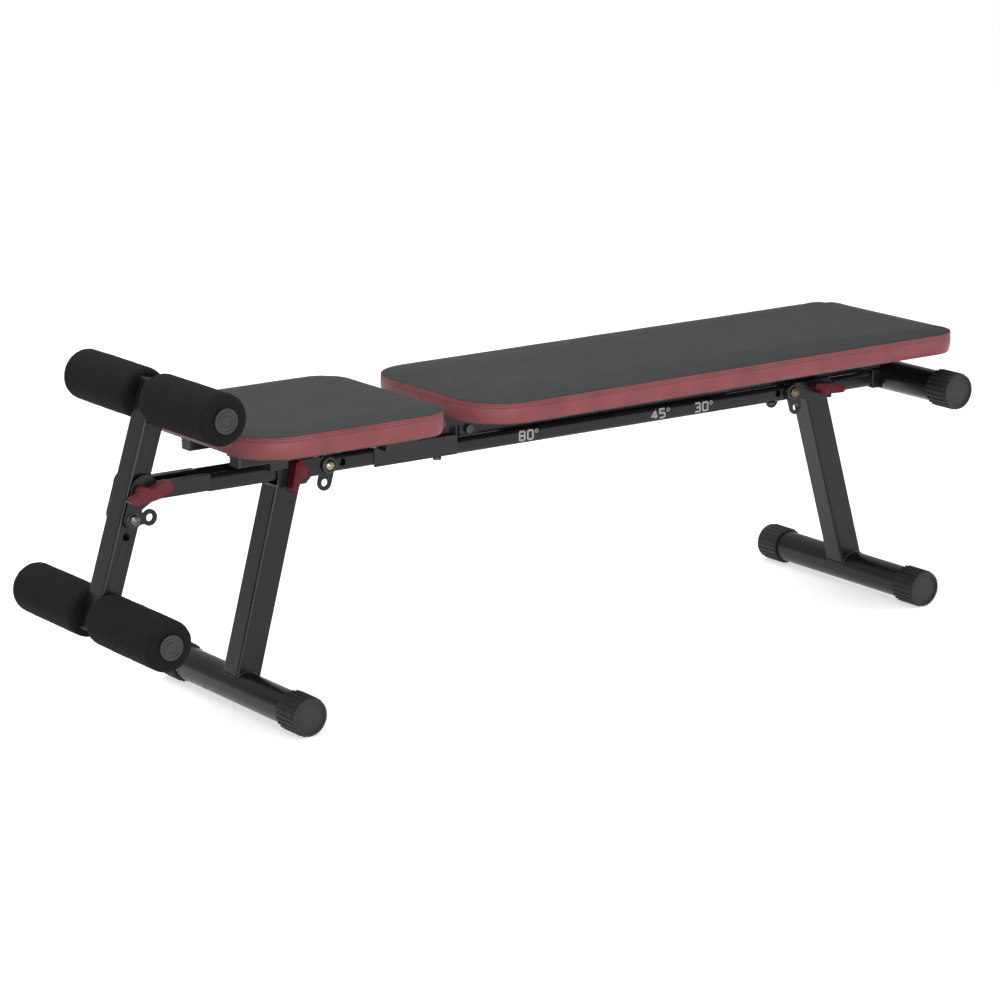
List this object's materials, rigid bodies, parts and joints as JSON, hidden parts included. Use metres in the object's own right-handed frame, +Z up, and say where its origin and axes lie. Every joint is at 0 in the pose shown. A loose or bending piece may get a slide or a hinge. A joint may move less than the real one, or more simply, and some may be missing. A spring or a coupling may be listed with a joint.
{
  "type": "decline sit-up bench",
  "caption": "Folding sit-up bench with a low seat, a long reclining back pad on a propped spine, folding legs, and a hinged foot post with foam ankle rollers.",
  "frame": {"origin": "on the floor, under the middle of the bench's length and width", "axes": "+X from the foot rollers to the head end, +Z up, +Y to the left of a user facing +X"},
  "size_m": [1.5138, 0.4, 0.5131],
  "materials": {
    "black_powder_coat": "satin black powder coat",
    "zinc_steel": "zinc plated, slightly dull",
    "black_cap_rubber": "matte moulded rubber",
    "black_plastic": "matte moulded plastic",
    "roller_foam": "matte closed-cell foam",
    "red_plastic": "semi-gloss dark red plastic",
    "pad_cover": "fine-grained black leatherette with a dark red side band",
    "plywood": "dark-stained plywood"
  },
  "bodies": {
    "frame": {"front_rails": "black_powder_coat", "rear_rails": "black_powder_coat", "joiner_sleeve": "black_powder_coat", "front_yoke": "black_powder_coat", "end_tube": "black_powder_coat", "end_tube_caps": "black_cap_rubber", "end_saddle": "black_powder_coat", "frame_rivets": "zinc_steel", "pivot_bolts": "zinc_steel", "pivot_nuts": "zinc_steel", "pivot_washers": "zinc_steel", "post_spacers": "black_plastic", "seat_supports": "black_powder_coat", "seat_support_plugs": "black_plastic", "seat_cross_members": "black_powder_coat", "seat_board": "plywood", "seat_pad": "pad_cover", "seat_screws": "zinc_steel", "hinge_bracket": "black_powder_coat", "hinge_pin": "zinc_steel", "strut_rack": "black_powder_coat"},
    "backrest": {"backrest_spine": "black_powder_coat", "spine_plugs": "black_plastic", "hinge_leaf": "black_powder_coat", "spine_bolt": "zinc_steel", "spine_bolt_nut": "zinc_steel", "backrest_cross_bars": "black_powder_coat", "back_board": "plywood", "back_pad": "pad_cover", "back_screws": "zinc_steel", "strut_pivot_pin": "zinc_steel"},
    "strut": {"strut_arm": "black_powder_coat", "strut_foot_pin": "zinc_steel", "strut_foot_rollers": "black_plastic"},
    "mid_leg": {"mid_leg": "black_powder_coat", "mid_leg_bracket": "black_powder_coat", "mid_foot_tube": "black_powder_coat", "mid_foot_caps": "black_cap_rubber"},
    "rear_leg": {"rear_leg": "black_powder_coat", "rear_leg_bracket": "black_powder_coat", "rear_foot_tube": "black_powder_coat", "rear_foot_caps": "black_cap_rubber"},
    "foot_post": {"foot_post": "black_powder_coat", "post_end_plugs": "black_plastic", "upper_roller_axle": "black_powder_coat", "lower_roller_axle": "black_powder_coat", "roller_hub_caps": "black_plastic"},
    "upper_left_roller": {"upper_left_roller": "roller_foam"},
    "upper_right_roller": {"upper_right_roller": "roller_foam"},
    "lower_left_roller": {"lower_left_roller": "roller_foam"},
    "lower_right_roller": {"lower_right_roller": "roller_foam"},
    "mid_lock_pin": {"mid_lock_pin": "zinc_steel", "mid_pin_grip": "red_plastic"},
    "rear_lock_pin": {"rear_lock_pin": "zinc_steel", "rear_pin_grip": "red_plastic"},
    "post_lock_pin": {"post_lock_pin": "zinc_steel", "post_pin_grip": "red_plastic"}
  },
  "joints": [
    {"name": "backrest_incline", "type": "hinge", "parent": "frame", "child": "backrest", "pos_m": [-0.15, 0, 0.376], "axis": [0, -1, 0], "range_deg": [0, 80]},
    {"name": "strut_swing", "type": "hinge", "parent": "backrest", "child": "strut", "pos_m": [0.09, 0, 0.342], "axis": [0, -1, 0], "range_deg": [-152, 0]},
    {"name": "mid_leg_fold", "type": "hinge", "parent": "frame", "child": "mid_leg", "pos_m": [-0.3543, 0, 0.345], "axis": [0, -1, 0], "range_deg": [0, 104.9]},
    {"name": "rear_leg_fold", "type": "hinge", "parent": "frame", "child": "rear_leg", "pos_m": [0.52, 0, 0.342], "axis": [0, 1, 0], "range_deg": [0, 106.1]},
    {"name": "post_fold", "type": "hinge", "parent": "frame", "child": "foot_post", "pos_m": [-0.6767, 0, 0.31], "axis": [0, -1, 0], "range_deg": [0, 100]},
    {"name": "upper_left_spin", "type": "hinge", "parent": "foot_post", "child": "upper_left_roller", "pos_m": [-0.62505, 0.108, 0.47584], "axis": [0, 1, 0], "continuous": true},
    {"name": "upper_right_spin", "type": "hinge", "parent": "foot_post", "child": "upper_right_roller", "pos_m": [-0.62505, -0.108, 0.47584], "axis": [0, 1, 0], "continuous": true},
    {"name": "lower_left_spin", "type": "hinge", "parent": "foot_post", "child": "lower_left_roller", "pos_m": [-0.71958, 0.108, 0.17232], "axis": [0, 1, 0], "continuous": true},
    {"name": "lower_right_spin", "type": "hinge", "parent": "foot_post", "child": "lower_right_roller", "pos_m": [-0.71958, -0.108, 0.17232], "axis": [0, 1, 0], "continuous": true},
    {"name": "mid_pin_pull", "type": "slide", "parent": "mid_leg", "child": "mid_lock_pin", "axis": [0, -1, 0], "range_m": [0, 0.015], "stiffness_N_per_m": 400, "springref_m": -0.004},
    {"name": "rear_pin_pull", "type": "slide", "parent": "rear_leg", "child": "rear_lock_pin", "axis": [0, -1, 0], "range_m": [0, 0.015], "stiffness_N_per_m": 400, "springref_m": -0.004},
    {"name": "post_pin_pull", "type": "slide", "parent": "frame", "child": "post_lock_pin", "axis": [0, -1, 0], "range_m": [0, 0.015], "stiffness_N_per_m": 400, "springref_m": -0.004}
  ],
  "couplings": [
    {"joint": "strut_swing", "follows": "backrest_incline", "ratio": -1.8858}
  ]
}
